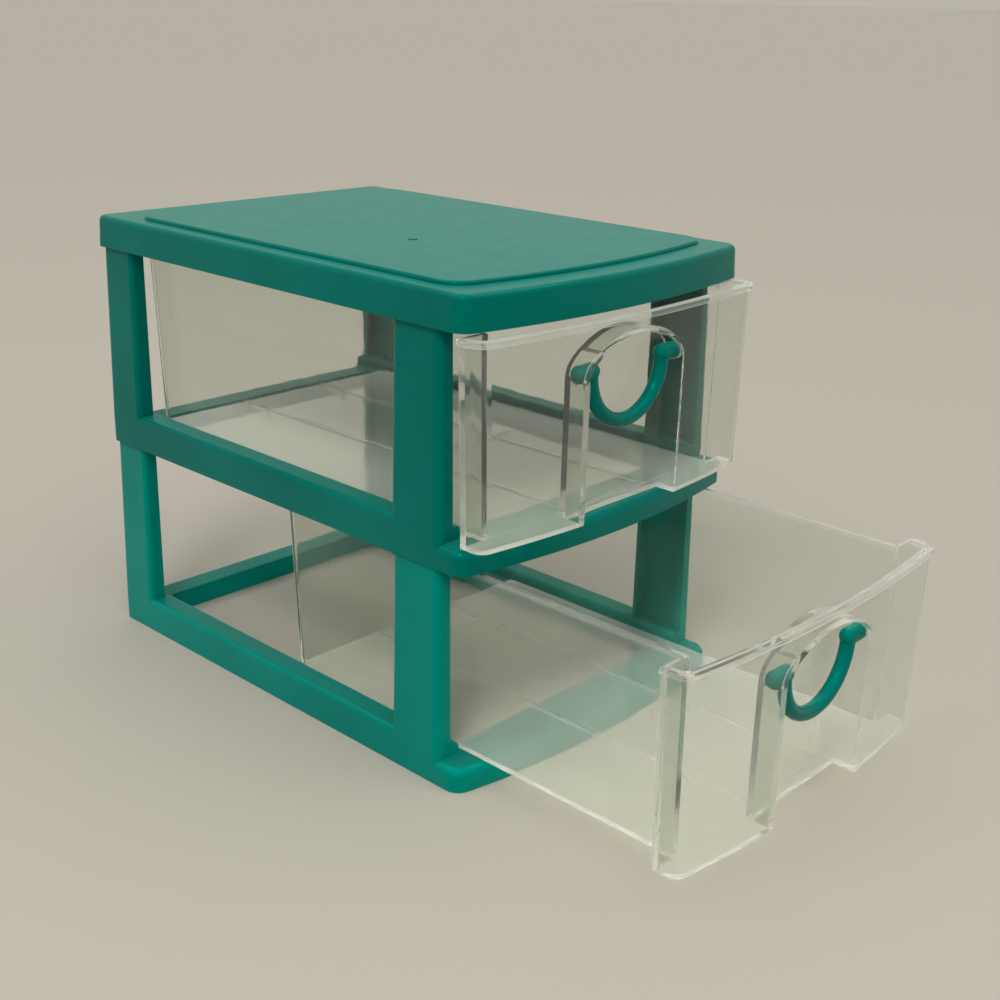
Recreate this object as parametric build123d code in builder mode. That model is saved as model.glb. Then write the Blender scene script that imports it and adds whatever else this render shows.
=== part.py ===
from build123d import *
import os

os.makedirs("parts", exist_ok=True)

# Two stacked tier frames under a cover, a clear drawer in each, and a swinging handle on each drawer.
# X runs across the front, the drawers open toward -Y, and Z = 0 is the table.

# Plan of the rings and the cover
width = 140.0
depth = 197.0
front_bow = 7.5
front_corner_radius = 6.0
rear_corner_radius = 3.5
shell = 1.6

# Ring of one tier frame
rail_height = 13.0
side_rail_width = 13.0
flange_width = 10.0
rear_rail_width = 12.0
front_rail_width = 12.5
ledge_height = 8.5
rail_edge_radius = 2.0
ledge_edge_radius = 3.0
opening_corner_radius = 4.0

# Posts of one tier frame
tier_pitch = 77.5
plug_height = 9.8
plug_clearance = 0.2
post_setback = 9.0
post_lean = 1.0
front_post_length = 22.6
rear_post_length = 20.5
front_return = 6.2
window_return = 8.0
rear_return = 6.5
post_wall = 1.6
post_corner_radius = 3.0
post_edge_radius = 2.0

# Cover
cover_thickness = 1.8
cover_edge_radius = 2.0
skirt_flare = 0.6
panel_rise = 1.4
panel_side_border = 6.5
panel_front_border = 10.5
panel_rear_border = 16.0
panel_bow = 7.5
panel_corner_radius = 10.0
panel_edge_radius = 1.0
gate_radius = 1.6
gate_height = 0.3
gate_x = -20.0
gate_y = -24.0

# Drawer tray
wall = 1.5
tray_side_gap = 1.5
tray_rear_gap = 10.0
tray_side_lean = 1.5
tray_rear_lean = 2.5
tray_corner_radius = 4.0
drawer_edge_radius = 1.0
runner_gap = 0.5
rim_gap = 1.3
floor_rib_spacing = 40.0
floor_rib_width = 1.2
floor_rib_height = 0.8
wedge_length = 12.0
wedge_drop = 3.2
full_travel = 154.5

# Swollen drawer front with its lip and handle recess
front_side_lean = 2.0
front_depth = 9.0
front_swell = 5.0
front_edge_radius = 5.0
front_floor_gap = 0.3
lip_overhang = 1.0
lip_depth = 3.0
lip_height = 1.8
recess_width = 49.0
recess_depth = 9.0
recess_spring = 60.0
recess_crown = 70.0
recess_corner_radius = 7.0

# Handle
bar_diameter = 5.0
handle_width = 37.0
handle_drop = 19.5
pin_diameter = 6.0
pin_reach = 27.5
pin_height = 59.0
pin_setback = 3.3
pin_clearance = 0.25
window_height = 6.5

# How far each drawer stands open
lower_open_length = 88.0
upper_open_length = 7.5

front_y = -depth / 2
rear_y = depth / 2
side_x = width / 2
stop_y = front_y + post_setback


# Plan shared by the rings and the cover, with the front edge swollen outwards
with BuildSketch() as outline:
    with BuildLine():
        Polyline((-side_x, front_y), (-side_x, rear_y), (side_x, rear_y), (side_x, front_y))
        ThreePointArc((side_x, front_y), (0, front_y - front_bow), (-side_x, front_y))
    make_face()
    fillet(outline.vertices().group_by(Axis.Y)[0], front_corner_radius)
    fillet(outline.vertices().group_by(Axis.Y)[-1], rear_corner_radius)

opening_front = front_y + front_rail_width
opening_rear = rear_y - rear_rail_width
with BuildSketch() as opening:
    with Locations((0, (opening_front + opening_rear) / 2)):
        Rectangle(width - 2 * side_rail_width, opening_rear - opening_front)
    fillet(opening.vertices(), opening_corner_radius)

with BuildSketch() as channel:
    add(outline.sketch)
    offset(amount=-shell, mode=Mode.REPLACE)
    offset(opening.sketch, amount=shell, mode=Mode.SUBTRACT)

# The ring is low, with a taller flange along each side from the front posts to the back
flange_x = side_x - flange_width
with BuildSketch() as flange_plan:
    with Locations((-flange_x, stop_y)):
        Rectangle(flange_width, depth - post_setback, align=(Align.MAX, Align.MIN))
    fillet(flange_plan.vertices().group_by(Axis.X)[0].sort_by(Axis.Y)[0], post_corner_radius)
    fillet(flange_plan.vertices().group_by(Axis.X)[0].sort_by(Axis.Y)[-1], rear_corner_radius)

with BuildSketch() as flange_hollow:
    offset(flange_plan.sketch, amount=-shell)


def post_plan(length, inner_reach, at_front, inset, z):
    """Plan of a left-hand post, its outer faces drawn in by the inset."""
    outer = -side_x + inset
    inner = -side_x + inner_reach
    near = stop_y + inset if at_front else rear_y - length
    far = stop_y + length if at_front else rear_y - inset
    with BuildSketch(Plane.XY.offset(z)) as plan:
        with Locations(((outer + inner) / 2, (near + far) / 2)):
            Rectangle(inner - outer, far - near)
        window_end, outer_end = (-1, 0) if at_front else (0, -1)
        fillet(plan.vertices().group_by(Axis.X)[0].sort_by(Axis.Y)[window_end], post_edge_radius)
        corner_radius = post_corner_radius if at_front else rear_corner_radius
        fillet(plan.vertices().group_by(Axis.X)[0].sort_by(Axis.Y)[outer_end], corner_radius)
    return plan.sketch


post_inset = shell + plug_clearance
post_top = tier_pitch + plug_height
with BuildPart() as left_posts:
    for at_front, length, reach in (
        (True, front_post_length, window_return),
        (False, rear_post_length, rear_return),
    ):
        foot = post_plan(length, reach, at_front, 0, plug_height)
        head = post_plan(length, reach, at_front, post_lean, tier_pitch)
        loft(sections=[foot.face(), head.face()])
        # The plug is stepped in all round its outer faces, so the tier above rests on the post's head
        extrude(post_plan(length, reach, at_front, post_inset, tier_pitch), amount=plug_height)
        # Hollow on the inner side: an outer wall with a return across each end
        hollow_near = (stop_y + post_inset if at_front else rear_y - length) + post_wall
        hollow_far = (stop_y + length if at_front else rear_y - post_inset) - post_wall
        hollow_outer = -side_x + post_inset + post_wall
        with BuildSketch(Plane.XY.offset(rail_height)):
            with Locations((hollow_outer, hollow_near)):
                Rectangle(reach, hollow_far - hollow_near, align=(Align.MIN, Align.MIN))
            if at_front:
                with Locations((-side_x + front_return, stop_y)):
                    Rectangle(reach, hollow_far - stop_y, align=(Align.MIN, Align.MIN))
        extrude(amount=post_top - rail_height, mode=Mode.SUBTRACT)

with BuildPart() as frame:
    with BuildSketch():
        add(outline.sketch)
    extrude(amount=ledge_height)
    fillet(frame.faces().sort_by(Axis.Z)[-1].edges(), ledge_edge_radius)
    with BuildSketch():
        add(flange_plan.sketch)
        mirror(flange_plan.sketch, about=Plane.YZ)
    extrude(amount=rail_height)
    fillet(frame.faces().group_by(Axis.Z)[-1].edges(), rail_edge_radius)
    with BuildSketch():
        add(opening.sketch)
    extrude(amount=rail_height, mode=Mode.SUBTRACT)
    with BuildSketch():
        add(channel.sketch)
    extrude(amount=ledge_height - shell, mode=Mode.SUBTRACT)
    with BuildSketch():
        add(flange_hollow.sketch)
        mirror(flange_hollow.sketch, about=Plane.YZ)
    extrude(amount=rail_height - shell, mode=Mode.SUBTRACT)
    add(left_posts.part)
    add(mirror(left_posts.part, about=Plane.YZ, mode=Mode.PRIVATE))

# Cover
cover_height = plug_height + cover_thickness
panel_x = side_x - panel_side_border
panel_front = front_y + panel_front_border
panel_rear = rear_y - panel_rear_border
with BuildSketch() as panel_plan:
    with BuildLine():
        Polyline(
            (-panel_x, panel_front), (-panel_x, panel_rear), (panel_x, panel_rear), (panel_x, panel_front)
        )
        ThreePointArc((panel_x, panel_front), (0, panel_front - panel_bow), (-panel_x, panel_front))
    make_face()
    fillet(panel_plan.vertices(), panel_corner_radius)

with BuildPart() as cover:
    with BuildSketch():
        add(outline.sketch)
        offset(amount=skirt_flare, mode=Mode.REPLACE)
    with BuildSketch(Plane.XY.offset(cover_height)):
        add(outline.sketch)
    loft()
    fillet(cover.faces().sort_by(Axis.Z)[-1].edges(), cover_edge_radius)
    with BuildSketch(Plane.XY.offset(cover_height)):
        add(panel_plan.sketch)
    extrude(amount=panel_rise)
    fillet(cover.faces().sort_by(Axis.Z)[-1].edges(), panel_edge_radius)
    with BuildSketch(Plane.XY.offset(cover_height + panel_rise)):
        with Locations((gate_x, gate_y)):
            Circle(gate_radius)
    extrude(amount=gate_height)
    with BuildSketch():
        add(outline.sketch)
        offset(amount=-shell, mode=Mode.REPLACE)
    extrude(amount=plug_height, mode=Mode.SUBTRACT)
    with BuildSketch(Plane.XY.offset(plug_height)):
        add(panel_plan.sketch)
        offset(amount=-shell, mode=Mode.REPLACE)
    extrude(amount=panel_rise, mode=Mode.SUBTRACT)

# Drawer, modelled shut in the bottom tier
floor_z = ledge_height + runner_gap
rim_z = tier_pitch - rim_gap
front_z = ledge_height + front_floor_gap
tray_rear = rear_y - tray_rear_gap
tray_rim_width = width - 2 * (window_return + tray_side_gap)
tray_floor_width = tray_rim_width - 2 * tray_side_lean
front_floor_width = width - 2 * front_side_lean
swell_y = stop_y - front_depth - front_swell


def tray_plan(span, rear, z, inset=0.0):
    """Plan of the straight-sided tray, reaching into the swollen front."""
    near = stop_y - wall
    with BuildSketch(Plane.XY.offset(z)) as plan:
        with Locations((0, (near + rear - inset) / 2)):
            Rectangle(span - 2 * inset, rear - inset - near)
        fillet(plan.vertices().group_by(Axis.Y)[-1], tray_corner_radius - inset)
    return plan.sketch


def front_plan(span, z, inset=0.0, rear_inset=0.0):
    """Plan of the swollen front, straight across its back and bowed in front."""
    half = span / 2 - inset
    back = stop_y - rear_inset
    side = stop_y - front_depth + inset
    with BuildSketch(Plane.XY.offset(z)) as plan:
        with BuildLine():
            Polyline((-half, side), (-half, back), (half, back), (half, side))
            ThreePointArc((half, side), (0, side - front_swell), (-half, side))
        make_face()
        fillet(plan.vertices().group_by(Axis.Y)[0], front_edge_radius - inset)
    return plan.sketch


# Outline of the handle recess seen from the front, arched at the top and open below
with BuildSketch() as recess_outline:
    with BuildLine():
        Polyline(
            (-recess_width / 2, recess_spring),
            (-recess_width / 2, 0),
            (recess_width / 2, 0),
            (recess_width / 2, recess_spring),
        )
        ThreePointArc((recess_width / 2, recess_spring), (0, recess_crown), (-recess_width / 2, recess_spring))
    make_face()
    fillet(recess_outline.vertices().group_by(Axis.Y)[-1], recess_corner_radius)

recess_back = swell_y + recess_depth
with BuildPart() as recess_lining:
    with BuildSketch(Plane.XZ.offset(-recess_back - wall)):
        add(recess_outline.sketch)
        offset(amount=wall, mode=Mode.REPLACE)
    extrude(amount=recess_depth + wall)

with BuildPart() as front_block:
    loft(
        sections=[
            front_plan(front_floor_width, front_z).face(),
            front_plan(width, rim_z).face(),
        ]
    )
    lowest = front_block.faces().sort_by(Axis.Z)[0].edges()
    fillet(lowest - lowest.group_by(Axis.Y)[-1], drawer_edge_radius)

with BuildPart() as tray_space:
    loft(
        sections=[
            front_plan(front_floor_width, front_z + wall, wall, wall).face(),
            front_plan(width, rim_z, wall, wall).face(),
        ]
    )
    loft(
        sections=[
            tray_plan(tray_floor_width, tray_rear - tray_rear_lean, floor_z + wall, wall).face(),
            tray_plan(tray_rim_width, tray_rear, rim_z, wall).face(),
        ]
    )
    add(recess_lining.part, mode=Mode.SUBTRACT)

lip_inset = lip_depth - lip_overhang
pin_y = recess_back - pin_setback
hole_radius = pin_diameter / 2 + pin_clearance
tray_floor = floor_z + wall
rib_rear = tray_rear - tray_rear_lean - wall / 2
wedge_front = opening_front + full_travel
with BuildPart() as drawer:
    loft(
        sections=[
            tray_plan(tray_floor_width, tray_rear - tray_rear_lean, floor_z).face(),
            tray_plan(tray_rim_width, tray_rear, rim_z).face(),
        ]
    )
    fillet(drawer.faces().sort_by(Axis.Z)[0].edges(), drawer_edge_radius)
    add(front_block.part)
    add(tray_space.part, mode=Mode.SUBTRACT)
    # Lip round the top of the swollen front
    with BuildSketch(Plane.XY.offset(rim_z - lip_height)):
        add(front_plan(width, 0, -lip_overhang))
        add(front_plan(width, 0, lip_inset, wall), mode=Mode.SUBTRACT)
        add(tray_plan(tray_rim_width, tray_rear, 0, wall), mode=Mode.SUBTRACT)
    extrude(amount=lip_height)
    # Handle recess, open in front and below
    with BuildSketch(Plane.XZ.offset(-recess_back)):
        add(recess_outline.sketch)
    extrude(amount=recess_depth + lip_overhang, mode=Mode.SUBTRACT)
    # A hole for each pin through the recess's side walls, with a window above it
    with BuildSketch(Plane.YZ):
        with Locations((pin_y, pin_height)):
            Circle(hole_radius)
            Rectangle(2 * hole_radius, window_height, align=(Align.CENTER, Align.MIN))
    extrude(amount=pin_reach, both=True, mode=Mode.SUBTRACT)
    # Two low ribs along the floor, each with a wedge below it that stops against the front rail
    with BuildSketch(Plane.XY.offset(tray_floor - wall / 2)):
        with GridLocations(floor_rib_spacing, 0, 2, 1):
            with Locations((0, stop_y)):
                Rectangle(floor_rib_width, rib_rear - stop_y, align=(Align.CENTER, Align.MIN))
    extrude(amount=wall / 2 + floor_rib_height)
    for side in (-1, 1):
        with BuildSketch(Plane.YZ.offset(side * floor_rib_spacing / 2)):
            with BuildLine():
                Polyline(
                    (wedge_front, tray_floor),
                    (wedge_front, floor_z - wedge_drop),
                    (wedge_front + wedge_length, floor_z),
                    (wedge_front + wedge_length, tray_floor),
                    close=True,
                )
            make_face()
        extrude(amount=floor_rib_width / 2, both=True)

# Handle: a round bar bent into a loop, with a round-ended pin out of each side
bend = handle_width / 2
bend_z = pin_height - handle_drop + bend
pin_radius = pin_diameter / 2
pin_end = pin_reach - pin_radius
with BuildPart() as handle:
    with BuildLine(Plane.XZ.offset(-pin_y)) as bar_line:
        Line((-bend, pin_height), (-bend, bend_z))
        ThreePointArc((-bend, bend_z), (0, pin_height - handle_drop), (bend, bend_z))
        Line((bend, bend_z), (bend, pin_height))
    with BuildSketch(Plane.XY.offset(pin_height)):
        with Locations((-bend, pin_y)):
            Circle(bar_diameter / 2)
    sweep(path=bar_line.line)
    with Locations((-bend, pin_y, pin_height), (bend, pin_y, pin_height)):
        Sphere(pin_radius)
    with Locations((-pin_end, pin_y, pin_height), (pin_end, pin_y, pin_height)):
        Sphere(pin_radius)
    for side in (-1, 1):
        with BuildSketch(Plane.YZ.offset(side * bend)):
            with Locations((pin_y, pin_height)):
                Circle(pin_radius)
        extrude(amount=side * (pin_end - bend))

cover.part.locate(Location((0, 0, 2 * tier_pitch)))
cover.part.label = "top_cover"
export_step(cover.part, "parts/top_cover.step")

for tier, (level, travel) in enumerate((("lower", lower_open_length), ("upper", upper_open_length))):
    for piece, name, slide in ((frame, "frame", 0), (drawer, "drawer", travel), (handle, "handle", travel)):
        placed = piece.part.moved(Location((0, -slide, tier * tier_pitch)))
        placed.label = f"{level}_{name}"
        export_step(placed, f"parts/{placed.label}.step")
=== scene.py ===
import bpy
import math
from mathutils import Matrix, Vector

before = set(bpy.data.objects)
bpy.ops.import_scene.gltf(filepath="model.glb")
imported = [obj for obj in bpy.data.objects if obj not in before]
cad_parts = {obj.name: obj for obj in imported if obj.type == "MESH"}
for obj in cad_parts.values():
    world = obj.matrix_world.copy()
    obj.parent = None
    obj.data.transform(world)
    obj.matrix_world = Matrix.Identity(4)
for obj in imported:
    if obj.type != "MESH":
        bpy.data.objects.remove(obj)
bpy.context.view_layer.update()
scene = bpy.context.scene

# View
# The organizer is seen from the front left and a little above, from about half a metre away,
# as it stands with its lower drawer well open and the upper one just ajar.
eye = Vector((-0.353642, -0.381279, 0.249572))
view_azimuth = math.radians(46.841)
view_pitch = math.radians(19.973)
view_roll = math.radians(1.345)
lens_mm = 50.39
sensor_mm = 36.0

view = bpy.data.cameras.new("front_left_view")
view.lens = lens_mm
view.sensor_width = sensor_mm
view.clip_start = 0.01
view.clip_end = 50.0
viewer = bpy.data.objects.new("front_left_view", view)
viewer.matrix_world = (
    Matrix.Translation(eye)
    @ Matrix.Rotation(-view_azimuth, 4, "Z")
    @ Matrix.Rotation(math.pi / 2 - view_pitch, 4, "X")
    @ Matrix.Rotation(view_roll, 4, "Z")
)
scene.collection.objects.link(viewer)
scene.camera = viewer
scene.view_settings.view_transform = "Standard"

# Table and room light
# A plain pale warm surface under the organizer, a pale room around it, one large soft lamp overhead
# and a smaller one from the front left, which draws the light lines along the rounded edges.
floor_colour = (0.475, 0.455, 0.405, 1.0)
room_colour = (0.49, 0.465, 0.40, 1.0)
room_shade = (0.24, 0.24, 0.225, 1.0)
floor_half = 60.0
floor_drop = 0.0002
lamp_colour = (1.0, 0.97, 0.92)
day_strength = 2.3
day_spread = math.radians(105)
day_tilt = (math.radians(8), math.radians(-10), 0)
side_watts = 6.0
side_width = 0.4
side_place = (-0.95, -0.55, 1.3)
side_aim = Vector((0, 0, 0.1))


def node_between(tree, kind, **settings):
    node = tree.nodes.new(kind)
    for name, value in settings.items():
        setattr(node, name, value)
    return node


table_finish = bpy.data.materials.new("pale_table")
table_finish.use_nodes = True
table_shader = table_finish.node_tree.nodes["Principled BSDF"]
table_shader.inputs["Base Color"].default_value = floor_colour
table_shader.inputs["Roughness"].default_value = 0.9
table_shader.inputs["Specular IOR Level"].default_value = 0.1
table_mesh = bpy.data.meshes.new("table")
table_mesh.from_pydata(
    [(-floor_half, -floor_half, 0), (floor_half, -floor_half, 0),
     (floor_half, floor_half, 0), (-floor_half, floor_half, 0)],
    [], [(0, 1, 2, 3)],
)
table = bpy.data.objects.new("table", table_mesh)
table.location.z = -floor_drop
table_mesh.materials.append(table_finish)
scene.collection.objects.link(table)

room = bpy.data.worlds.new("room")
room.use_nodes = True
room_rays = node_between(room.node_tree, "ShaderNodeLightPath")
seen = room_rays.outputs["Is Camera Ray"]
for kind in ("Is Glossy Ray", "Is Transmission Ray"):
    also = node_between(room.node_tree, "ShaderNodeMath", operation="MAXIMUM")
    room.node_tree.links.new(seen, also.inputs[0])
    room.node_tree.links.new(room_rays.outputs[kind], also.inputs[1])
    seen = also.outputs[0]
room_tone = node_between(room.node_tree, "ShaderNodeMix", data_type="RGBA")
room_tone.inputs[6].default_value = room_shade
room_tone.inputs[7].default_value = room_colour
room.node_tree.links.new(seen, room_tone.inputs[0])
room.node_tree.links.new(room_tone.outputs[2], room.node_tree.nodes["Background"].inputs["Color"])
room.node_tree.nodes["Background"].inputs["Strength"].default_value = 1.0
scene.world = room

day = bpy.data.lights.new("soft_overhead", "SUN")
day.energy = day_strength
day.angle = day_spread
day.color = lamp_colour
day_lamp = bpy.data.objects.new("soft_overhead", day)
day_lamp.rotation_euler = day_tilt
scene.collection.objects.link(day_lamp)

side = bpy.data.lights.new("soft_front_left", "AREA")
side.shape = "DISK"
side.size = side_width
side.energy = side_watts
side.color = lamp_colour
side_lamp = bpy.data.objects.new("soft_front_left", side)
side_lamp.location = side_place
side_lamp.rotation_euler = (side_aim - side_lamp.location).to_track_quat("-Z", "Y").to_euler()
scene.collection.objects.link(side_lamp)

scene.cycles.max_bounces = 32
scene.cycles.transmission_bounces = 32
scene.cycles.glossy_bounces = 12
scene.cycles.diffuse_bounces = 6
scene.cycles.transparent_max_bounces = 32

# Green mouldings: the two tier frames and the cover
# Opaque teal green polypropylene, each a single injection moulding with a gloss finish. The tiers'
# plugs push into the posts' sockets above, so nothing but the moulding itself shows.
green_deep = (0.0, 0.132, 0.107, 1.0)
green_light = (0.0, 0.170, 0.141, 1.0)
# Paler green painted on flat upward faces: painted top light, not a colour of the plastic
green_painted_top_light = (0.004, 0.205, 0.170, 1.0)
green_refraction = 1.28
green_gloss_tint = (0.0, 1.0, 0.95, 1.0)
green_scuff_dullness = 0.1
green_satin_dullness = 0.25
# Brightens the lower tier's greens 1.6 times: painted light, a lighter copy of the same green standing
# in for light falling on the lower tier
lower_tier_painted_light_gain = 1.6


def surface_place(tree, shift, stretch=(1.0, 1.0, 1.0)):
    where = node_between(tree, "ShaderNodeTexCoord")
    moved = node_between(tree, "ShaderNodeMapping")
    moved.inputs["Location"].default_value = (shift, shift * 0.7, shift * 1.3)
    moved.inputs["Scale"].default_value = stretch
    tree.links.new(where.outputs["Object"], moved.inputs["Vector"])
    return moved.outputs["Vector"]


def mottle(tree, place, scale, detail=2.0, roughness=0.5):
    noise = node_between(tree, "ShaderNodeTexNoise")
    noise.inputs["Scale"].default_value = scale
    noise.inputs["Detail"].default_value = detail
    noise.inputs["Roughness"].default_value = roughness
    tree.links.new(place, noise.inputs["Vector"])
    return noise.outputs["Fac"]


def spread(tree, value, low, high, to_low, to_high):
    ranged = node_between(tree, "ShaderNodeMapRange")
    ranged.inputs["From Min"].default_value = low
    ranged.inputs["From Max"].default_value = high
    ranged.inputs["To Min"].default_value = to_low
    ranged.inputs["To Max"].default_value = to_high
    tree.links.new(value, ranged.inputs["Value"])
    return ranged.outputs["Result"]


def relief(tree, height, distance, under=None):
    bump = node_between(tree, "ShaderNodeBump")
    bump.inputs["Distance"].default_value = distance
    bump.inputs["Strength"].default_value = 1.0
    tree.links.new(height, bump.inputs["Height"])
    if under is not None:
        tree.links.new(under, bump.inputs["Normal"])
    return bump.outputs["Normal"]


def scuffs(tree, shift, stretch, scale, cut):
    lines = mottle(tree, surface_place(tree, shift, stretch), scale, 3.0, 0.6)
    return spread(tree, lines, cut, cut + 0.04, 0.0, 1.0)


def green_moulding(name, shift, painted_light_gain=1.0):
    finish = bpy.data.materials.new(name)
    finish.use_nodes = True
    tree = finish.node_tree
    shader = tree.nodes["Principled BSDF"]
    place = surface_place(tree, shift)
    cloud = mottle(tree, place, 16.0, 3.0)
    tone = node_between(tree, "ShaderNodeMix", data_type="RGBA")
    # Both greens are scaled by the third argument, painted light that brightens the lower tier as a lit
    # copy of the same green
    tone.inputs[6].default_value = [part * painted_light_gain for part in green_deep[:3]] + [1.0]
    tone.inputs[7].default_value = [part * painted_light_gain for part in green_light[:3]] + [1.0]
    tree.links.new(spread(tree, cloud, 0.3, 0.7, 0.0, 1.0), tone.inputs[0])
    rub = scuffs(tree, shift + 3.0, (1.0, 9.0, 1.0), 60.0, 0.68)
    polish = spread(tree, mottle(tree, place, 120.0, 4.0), 0.3, 0.7, 0.045, 0.085)
    worn = node_between(tree, "ShaderNodeMath", operation="MULTIPLY_ADD")
    worn.inputs[1].default_value = green_scuff_dullness
    tree.links.new(rub, worn.inputs[0])
    tree.links.new(polish, worn.inputs[2])
    # Flat upward faces are painted paler, a painted top light standing in for the light that falls on
    # them, and are made satin; the rest keeps the mould's polish
    facing = node_between(tree, "ShaderNodeSeparateXYZ")
    tree.links.new(node_between(tree, "ShaderNodeNewGeometry").outputs["True Normal"], facing.inputs[0])
    upward = spread(tree, facing.outputs["Z"], 0.9, 0.995, 0.0, 1.0)
    top_painted_light_tone = node_between(tree, "ShaderNodeMix", data_type="RGBA")
    top_painted_light_tone.inputs[7].default_value = green_painted_top_light
    tree.links.new(upward, top_painted_light_tone.inputs[0])
    tree.links.new(tone.outputs[2], top_painted_light_tone.inputs[6])
    tree.links.new(top_painted_light_tone.outputs[2], shader.inputs["Base Color"])
    satin = node_between(tree, "ShaderNodeMath", operation="MULTIPLY_ADD")
    satin.inputs[1].default_value = green_satin_dullness
    tree.links.new(upward, satin.inputs[0])
    tree.links.new(worn.outputs[0], satin.inputs[2])
    tree.links.new(satin.outputs[0], shader.inputs["Roughness"])
    waves = relief(tree, mottle(tree, place, 22.0, 1.0), 0.0003)
    grain = relief(tree, mottle(tree, place, 1100.0, 2.0), 0.000006, waves)
    tree.links.new(grain, shader.inputs["Normal"])
    shader.inputs["IOR"].default_value = green_refraction
    shader.inputs["Specular Tint"].default_value = green_gloss_tint
    return finish


def dress(node, finish):
    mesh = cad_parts[node].data
    if not mesh.materials:
        mesh.materials.append(finish)
    for i in range(len(mesh.materials)):
        mesh.materials[i] = finish


dress("lower_frame", green_moulding("green_lower_tier", 1.0, lower_tier_painted_light_gain))
dress("upper_frame", green_moulding("green_upper_tier", 2.0))
dress("top_cover", green_moulding("green_cover", 5.0))

# Clear drawers
# Natural polypropylene, clear with a slight milky haze, moulded in one piece with its swollen front,
# its thickened lip and the arched recess that the handle hangs in.
clear_tint = (0.875, 0.893, 0.862, 1.0)
lamp_tint = (0.94, 0.94, 0.92, 1.0)
clear_refraction = 1.24
clear_scuff_dullness = 0.1
lower_floor_level, lower_rim_level = 0.0088, 0.0762
upper_floor_level, upper_rim_level = 0.0863, 0.1537


def clear_moulding(name, shift, floor_level, rim_level):
    finish = bpy.data.materials.new(name)
    finish.use_nodes = True
    tree = finish.node_tree
    shader = tree.nodes["Principled BSDF"]
    shader.inputs["Base Color"].default_value = clear_tint
    shader.inputs["IOR"].default_value = clear_refraction
    place = surface_place(tree, shift)
    haze = spread(tree, mottle(tree, place, 40.0, 4.0), 0.3, 0.7, 0.02, 0.06)
    rub = scuffs(tree, shift + 4.0, (1.0, 7.0, 12.0), 30.0, 0.66)
    worn = node_between(tree, "ShaderNodeMath", operation="MULTIPLY_ADD")
    worn.inputs[1].default_value = clear_scuff_dullness
    tree.links.new(rub, worn.inputs[0])
    tree.links.new(haze, worn.inputs[2])
    tree.links.new(worn.outputs[0], shader.inputs["Roughness"])
    # Thick rims, the rounded foot and edges seen at a slant look milkier than the thin walls
    parts = node_between(tree, "ShaderNodeSeparateXYZ")
    tree.links.new(node_between(tree, "ShaderNodeTexCoord").outputs["Object"], parts.inputs[0])
    foot = spread(tree, parts.outputs["Z"], floor_level + 0.0004, floor_level + 0.0012, 0.72, 0.985)
    rim = spread(tree, parts.outputs["Z"], rim_level - 0.002, rim_level - 0.0016, 1.0, 0.9)
    through = node_between(tree, "ShaderNodeMath", operation="MULTIPLY")
    tree.links.new(foot, through.inputs[0])
    tree.links.new(rim, through.inputs[1])
    edge = node_between(tree, "ShaderNodeLayerWeight")
    edge.inputs["Blend"].default_value = 0.5
    clear = node_between(tree, "ShaderNodeMath", operation="MULTIPLY")
    tree.links.new(through.outputs[0], clear.inputs[0])
    tree.links.new(spread(tree, edge.outputs["Facing"], 0.60, 0.95, 1.0, 0.25), clear.inputs[1])
    tree.links.new(clear.outputs[0], shader.inputs["Transmission Weight"])
    flow = relief(tree, mottle(tree, place, 38.0, 2.0), 0.0003)
    grain = relief(tree, mottle(tree, place, 700.0, 2.0), 0.00001, flow)
    tree.links.new(grain, shader.inputs["Normal"])
    # Lamps shine through the thin walls instead of leaving hard shadows
    ray = node_between(tree, "ShaderNodeLightPath")
    open_way = node_between(tree, "ShaderNodeBsdfTransparent")
    open_way.inputs["Color"].default_value = lamp_tint
    either = node_between(tree, "ShaderNodeMixShader")
    tree.links.new(ray.outputs["Is Shadow Ray"], either.inputs[0])
    tree.links.new(shader.outputs["BSDF"], either.inputs[1])
    tree.links.new(open_way.outputs["BSDF"], either.inputs[2])
    tree.links.new(either.outputs[0], tree.nodes["Material Output"].inputs["Surface"])
    return finish


dress("lower_drawer", clear_moulding("clear_lower_drawer", 1.5, lower_floor_level, lower_rim_level))
dress("upper_drawer", clear_moulding("clear_upper_drawer", 6.5, upper_floor_level, upper_rim_level))

# Swinging handles
# Small bails of the same green polypropylene, snapped by their end pins into the recess walls, where
# they hang straight down and swing up to be pulled.
dress("lower_handle", green_moulding("green_lower_handle", 8.0))
dress("upper_handle", green_moulding("green_upper_handle", 9.0))
